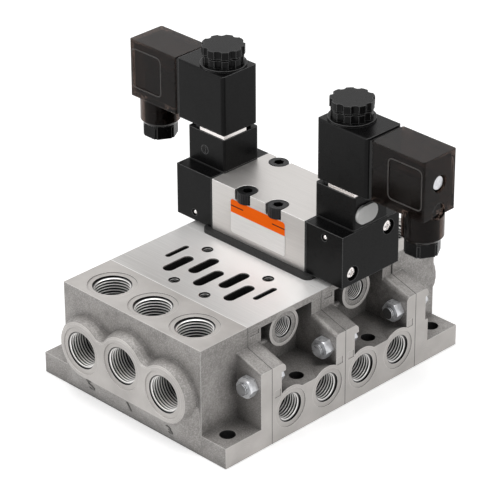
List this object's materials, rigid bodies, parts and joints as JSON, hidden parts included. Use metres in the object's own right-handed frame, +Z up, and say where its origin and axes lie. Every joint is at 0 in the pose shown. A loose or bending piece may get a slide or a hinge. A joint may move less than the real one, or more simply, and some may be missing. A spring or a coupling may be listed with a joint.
{
  "type": "directional control valve",
  "caption": "Double solenoid pneumatic spool valve on a manifold row with a free station, end plates with threaded ports, cable connectors and manual overrides.",
  "frame": {"origin": "on the mounting surface, in the middle of the footprint", "axes": "+X along the spool towards the outlet ports, +Y along the row from the near end plate to the rear one, +Z up from the mounting surface"},
  "size_m": [0.1706, 0.151, 0.1286],
  "materials": {
    "cast_aluminium": "bead-blasted casting, machined faces",
    "brushed_aluminium": "brushed satin",
    "zinc_steel": "bright zinc plate",
    "bright_steel": "ground",
    "spring_steel": "drawn wire",
    "black_steel": "black oxide",
    "black_rubber": "matte",
    "black_plastic": "fine satin",
    "white_plastic": "natural",
    "smoked_plastic": "smoked translucent",
    "dark_plastic": "moulded",
    "grey_plastic": "moulded",
    "brass": "turned",
    "label_foil": "printed foil"
  },
  "bodies": {
    "manifold": {"ball_plugs": "bright_steel", "coil_washers": "black_plastic", "connector_screws": "zinc_steel", "end_cap_gaskets": "black_rubber", "end_cap_screws": "zinc_steel", "interface_gasket": "black_rubber", "joint_bolts": "zinc_steel", "joint_nuts": "zinc_steel", "left_armature_tube": "bright_steel", "left_coil": "black_plastic", "left_coil_terminals": "brass", "left_connector_gasket": "black_rubber", "left_connector_housing": "smoked_plastic", "left_end_cap": "black_plastic", "left_gland_seal": "black_rubber", "left_orifice_seat": "brass", "left_override_spring": "spring_steel", "left_pilot_body": "black_plastic", "left_plunger_spring": "spring_steel", "left_terminal_block": "dark_plastic", "left_yoke_plate": "bright_steel", "name_label": "label_foil", "near_end_plate": "cast_aluminium", "pilot_gaskets": "black_rubber", "pilot_screws": "black_steel", "rear_end_plate": "cast_aluminium", "right_armature_tube": "bright_steel", "right_coil": "black_plastic", "right_coil_terminals": "brass", "right_connector_gasket": "black_rubber", "right_connector_housing": "smoked_plastic", "right_end_cap": "black_plastic", "right_gland_seal": "black_rubber", "right_orifice_seat": "brass", "right_override_spring": "spring_steel", "right_pilot_body": "black_plastic", "right_plunger_spring": "spring_steel", "right_terminal_block": "dark_plastic", "right_yoke_plate": "bright_steel", "spool_seals": "black_rubber", "station_base_1": "cast_aluminium", "station_base_2": "cast_aluminium", "station_seals": "black_rubber", "valve_body": "brushed_aluminium", "valve_screws": "black_steel", "vent_plugs": "grey_plastic"},
    "spool": {"spool": "bright_steel", "left_piston": "white_plastic", "right_piston": "white_plastic", "piston_seals": "black_rubber"},
    "left_plunger": {"left_plunger": "bright_steel"},
    "right_plunger": {"right_plunger": "bright_steel"},
    "left_override": {"left_override_button": "black_plastic"},
    "right_override": {"right_override_button": "black_plastic"},
    "left_coil_nut": {"left_coil_nut": "black_plastic"},
    "right_coil_nut": {"right_coil_nut": "black_plastic"},
    "left_gland_nut": {"left_gland_nut": "black_plastic"},
    "right_gland_nut": {"right_gland_nut": "black_plastic"}
  },
  "joints": [
    {"name": "spool_slide", "type": "slide", "parent": "manifold", "child": "spool", "axis": [1, 0, 0], "range_m": [0, 0.0045]},
    {"name": "left_plunger_lift", "type": "slide", "parent": "manifold", "child": "left_plunger", "axis": [0, 0, 1], "range_m": [0, 0.001], "stiffness_N_per_m": 500, "springref_m": -0.004, "deforming": ["left_plunger_spring"]},
    {"name": "left_override_press", "type": "slide", "parent": "manifold", "child": "left_override", "axis": [0, 1, 0], "range_m": [0, 0.0015], "stiffness_N_per_m": 800, "springref_m": -0.002, "deforming": ["left_override_spring"]},
    {"name": "left_coil_nut_turn", "type": "hinge", "parent": "manifold", "child": "left_coil_nut", "pos_m": [-0.037, 0.0205, 0.1204], "axis": [0, 0, 1], "range_deg": [0, 360]},
    {"name": "left_gland_nut_turn", "type": "hinge", "parent": "manifold", "child": "left_gland_nut", "pos_m": [-0.0765, 0.0205, 0.0798], "axis": [0, 0, -1], "range_deg": [0, 360]},
    {"name": "right_plunger_lift", "type": "slide", "parent": "manifold", "child": "right_plunger", "axis": [0, 0, 1], "range_m": [0, 0.001], "stiffness_N_per_m": 500, "springref_m": -0.004, "deforming": ["right_plunger_spring"]},
    {"name": "right_override_press", "type": "slide", "parent": "manifold", "child": "right_override", "axis": [0, -1, 0], "range_m": [0, 0.0015], "stiffness_N_per_m": 800, "springref_m": -0.002, "deforming": ["right_override_spring"]},
    {"name": "right_coil_nut_turn", "type": "hinge", "parent": "manifold", "child": "right_coil_nut", "pos_m": [0.037, 0.0205, 0.1204], "axis": [0, 0, 1], "range_deg": [0, 360]},
    {"name": "right_gland_nut_turn", "type": "hinge", "parent": "manifold", "child": "right_gland_nut", "pos_m": [0.0765, 0.0205, 0.0798], "axis": [0, 0, -1], "range_deg": [0, 360]}
  ]
}
